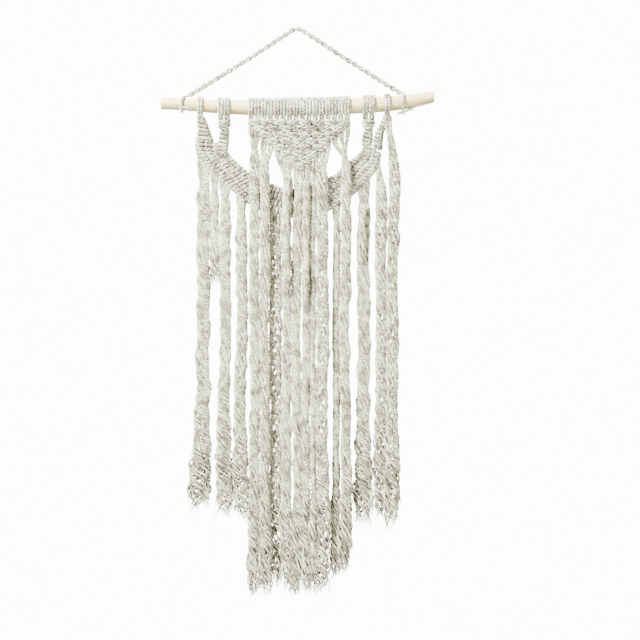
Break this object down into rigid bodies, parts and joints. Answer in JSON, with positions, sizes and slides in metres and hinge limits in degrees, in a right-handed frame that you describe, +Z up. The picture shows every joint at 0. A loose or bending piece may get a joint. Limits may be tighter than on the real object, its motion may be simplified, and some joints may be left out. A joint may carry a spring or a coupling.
{
  "type": "macrame wall hanging",
  "caption": "Macrame wall hanging: a natural stick on a twisted cotton hanger, a triangle of square knots, a U-shaped knotted band behind it and long hanging bundles of cord.",
  "frame": {"origin": "where the hanger rope lies on its nail, the underside of the rope at its apex", "axes": "+Z up, +X along the stick to the right as seen from the front, +Y into the wall, so the front faces -Y"},
  "size_m": [0.35, 0.0276, 0.7367],
  "materials": {
    "peeled_stick": "peeled and dry, unvarnished",
    "hanger_rope_cotton": "twisted cotton rope, soft",
    "knotted_cotton": "three-ply cotton cord, knotted",
    "fringe_cotton": "three-ply cotton cord, ends unravelled"
  },
  "bodies": {
    "band": {"band_left_row_1": "knotted_cotton", "band_left_row_2": "knotted_cotton", "band_left_row_3": "knotted_cotton", "band_left_row_4": "knotted_cotton", "band_right_row_1": "knotted_cotton", "band_right_row_2": "knotted_cotton", "band_right_row_3": "knotted_cotton", "band_right_row_4": "knotted_cotton", "inner_sinnet_left": "knotted_cotton", "inner_sinnet_right": "knotted_cotton", "outer_sinnet_left": "knotted_cotton", "outer_sinnet_right": "knotted_cotton", "side_knot_left": "knotted_cotton", "side_knot_right": "knotted_cotton"},
    "bundle_front_1": {"bundle_front_1": "fringe_cotton"},
    "bundle_front_2": {"bundle_front_2": "fringe_cotton"},
    "bundle_front_3": {"bundle_front_3": "fringe_cotton", "short_tail_middle_left": "fringe_cotton"},
    "bundle_front_4": {"bundle_front_4": "fringe_cotton"},
    "bundle_front_5": {"bundle_front_5": "fringe_cotton", "short_tail_middle_right": "fringe_cotton"},
    "bundle_front_6": {"bundle_front_6": "fringe_cotton"},
    "bundle_front_7": {"bundle_front_7": "fringe_cotton"},
    "bundle_front_8": {"bundle_front_8": "fringe_cotton"},
    "bundle_left_1": {"bundle_left_1": "fringe_cotton"},
    "bundle_left_2": {"bundle_left_2": "fringe_cotton"},
    "bundle_left_3": {"bundle_left_3": "fringe_cotton"},
    "bundle_middle_left": {"bundle_middle_left": "fringe_cotton"},
    "bundle_middle_right": {"bundle_middle_right": "fringe_cotton"},
    "bundle_right_1": {"bundle_right_1": "fringe_cotton", "short_tail_right": "fringe_cotton"},
    "bundle_right_2": {"bundle_right_2": "fringe_cotton"},
    "bundle_right_3": {"bundle_right_3": "fringe_cotton"},
    "dowel": {"dowel": "peeled_stick", "hitch_centre_1": "knotted_cotton", "hitch_centre_2": "knotted_cotton", "hitch_centre_3": "knotted_cotton", "hitch_centre_4": "knotted_cotton", "hitch_centre_5": "knotted_cotton", "hitch_centre_6": "knotted_cotton", "hitch_centre_7": "knotted_cotton", "hitch_centre_8": "knotted_cotton", "hitch_left_inner": "knotted_cotton", "hitch_left_outer": "knotted_cotton", "hitch_right_inner": "knotted_cotton", "hitch_right_outer": "knotted_cotton"},
    "hanger": {"hanger_rope": "hanger_rope_cotton", "tie_left": "hanger_rope_cotton", "tie_right": "hanger_rope_cotton"},
    "short_tail_left": {"short_tail_left": "fringe_cotton"},
    "triangle": {"knot_row_1": "knotted_cotton", "knot_row_2": "knotted_cotton", "knot_row_3": "knotted_cotton", "knot_row_4": "knotted_cotton", "knot_row_5": "knotted_cotton", "knot_row_6": "knotted_cotton", "knot_row_7": "knotted_cotton", "knot_row_8": "knotted_cotton"}
  },
  "joints": [
    {"name": "band_swing", "type": "hinge", "parent": "dowel", "child": "band", "pos_m": [0.002, -0.004, -0.11499], "axis": [-1, 0, 0], "range_deg": [0, 30]},
    {"name": "bundle_front_1_swing", "type": "hinge", "parent": "triangle", "child": "bundle_front_1", "pos_m": [-0.05868, -0.005, -0.12544], "axis": [-1, 0, 0], "range_deg": [0, 45]},
    {"name": "bundle_front_2_swing", "type": "hinge", "parent": "triangle", "child": "bundle_front_2", "pos_m": [-0.04195, -0.005, -0.14134], "axis": [-1, 0, 0], "range_deg": [0, 45]},
    {"name": "bundle_front_3_swing", "type": "hinge", "parent": "triangle", "child": "bundle_front_3", "pos_m": [-0.01834, -0.005, -0.16519], "axis": [-1, 0, 0], "range_deg": [0, 45]},
    {"name": "bundle_front_4_swing", "type": "hinge", "parent": "triangle", "child": "bundle_front_4", "pos_m": [-0.00128, -0.005, -0.18109], "axis": [-1, 0, 0], "range_deg": [0, 45]},
    {"name": "bundle_front_5_swing", "type": "hinge", "parent": "triangle", "child": "bundle_front_5", "pos_m": [0.0143, -0.005, -0.17314], "axis": [-1, 0, 0], "range_deg": [0, 45]},
    {"name": "bundle_front_6_swing", "type": "hinge", "parent": "triangle", "child": "bundle_front_6", "pos_m": [0.02234, -0.005, -0.16519], "axis": [-1, 0, 0], "range_deg": [0, 45]},
    {"name": "bundle_front_7_swing", "type": "hinge", "parent": "triangle", "child": "bundle_front_7", "pos_m": [0.03152, -0.005, -0.15724], "axis": [-1, 0, 0], "range_deg": [0, 45]},
    {"name": "bundle_front_8_swing", "type": "hinge", "parent": "triangle", "child": "bundle_front_8", "pos_m": [0.06432, -0.005, -0.12544], "axis": [-1, 0, 0], "range_deg": [0, 45]},
    {"name": "bundle_left_1_swing", "type": "hinge", "parent": "band", "child": "bundle_left_1", "pos_m": [-0.12237, 0.0047, -0.16964], "axis": [-1, 0, 0], "range_deg": [0, 45]},
    {"name": "bundle_left_2_swing", "type": "hinge", "parent": "band", "child": "bundle_left_2", "pos_m": [-0.09588, 0.0047, -0.19516], "axis": [-1, 0, 0], "range_deg": [0, 45]},
    {"name": "bundle_left_3_swing", "type": "hinge", "parent": "band", "child": "bundle_left_3", "pos_m": [-0.07334, 0.0047, -0.21621], "axis": [-1, 0, 0], "range_deg": [0, 45]},
    {"name": "bundle_middle_left_swing", "type": "hinge", "parent": "band", "child": "bundle_middle_left", "pos_m": [-0.0285, 0.0047, -0.23717], "axis": [-1, 0, 0], "range_deg": [0, 45]},
    {"name": "bundle_middle_right_swing", "type": "hinge", "parent": "band", "child": "bundle_middle_right", "pos_m": [0.04989, 0.0047, -0.22743], "axis": [-1, 0, 0], "range_deg": [0, 45]},
    {"name": "bundle_right_1_swing", "type": "hinge", "parent": "band", "child": "bundle_right_1", "pos_m": [0.08846, 0.0047, -0.19553], "axis": [-1, 0, 0], "range_deg": [0, 45]},
    {"name": "bundle_right_2_swing", "type": "hinge", "parent": "band", "child": "bundle_right_2", "pos_m": [0.10268, 0.0047, -0.17835], "axis": [-1, 0, 0], "range_deg": [0, 45]},
    {"name": "bundle_right_3_swing", "type": "hinge", "parent": "band", "child": "bundle_right_3", "pos_m": [0.115, -0.003, -0.11273], "axis": [-1, 0, 0], "range_deg": [0, 45]},
    {"name": "dowel_roll", "type": "hinge", "parent": "hanger", "child": "dowel", "pos_m": [-0.145, 0, -0.09549], "axis": [-1, 0, -0.0098], "range_deg": [0, 45]},
    {"name": "short_tail_left_swing", "type": "hinge", "parent": "band", "child": "short_tail_left", "pos_m": [-0.10745, 0.0047, -0.18371], "axis": [-1, 0, 0], "range_deg": [0, 45]},
    {"name": "triangle_swing", "type": "hinge", "parent": "band", "child": "triangle", "pos_m": [0.002, -0.004, -0.11569], "axis": [-1, 0, 0], "range_deg": [0, 30]}
  ]
}
